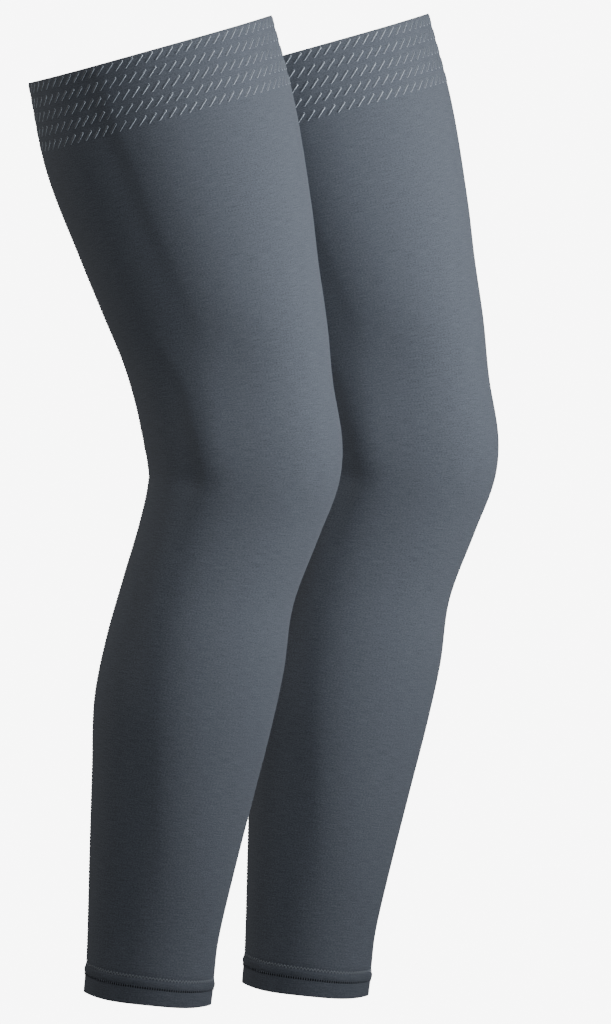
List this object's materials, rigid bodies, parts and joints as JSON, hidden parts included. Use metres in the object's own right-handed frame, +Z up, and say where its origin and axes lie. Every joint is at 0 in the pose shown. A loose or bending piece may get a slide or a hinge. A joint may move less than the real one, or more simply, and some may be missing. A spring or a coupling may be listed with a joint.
{
  "type": "pair of leg warmers",
  "caption": "Pair of full-length close-fitting knit leg warmers, thigh to ankle, bent at the knee, with slanting grip bars round the top and a turned-up stitched ankle hem.",
  "frame": {"origin": "midway between the centres of the two thigh openings, where the wearer's thighs hold the pair up", "axes": "+X is the way the wearer faces, +Y is the wearer's left, +Z is up along the legs"},
  "size_m": [0.3406, 0.3416, 0.7182],
  "materials": {
    "leg_cloth": "matt brushed knit, slate grey, with a soft sheen",
    "hem_cloth": "matt brushed knit, turned up double, slate grey",
    "grip_bar": "satin, raised, light grey",
    "sewing_thread": "soft stretch thread, grey"
  },
  "bodies": {
    "root": {"right_thigh_panel": "leg_cloth", "right_lower_thigh_panel": "leg_cloth", "right_knee_panel": "leg_cloth", "right_calf_panel": "leg_cloth", "right_shin_panel": "leg_cloth", "right_ankle_hem": "hem_cloth", "left_thigh_panel": "leg_cloth", "left_lower_thigh_panel": "leg_cloth", "left_knee_panel": "leg_cloth", "left_calf_panel": "leg_cloth", "left_shin_panel": "leg_cloth", "left_ankle_hem": "hem_cloth"}
  },
  "joints": []
}
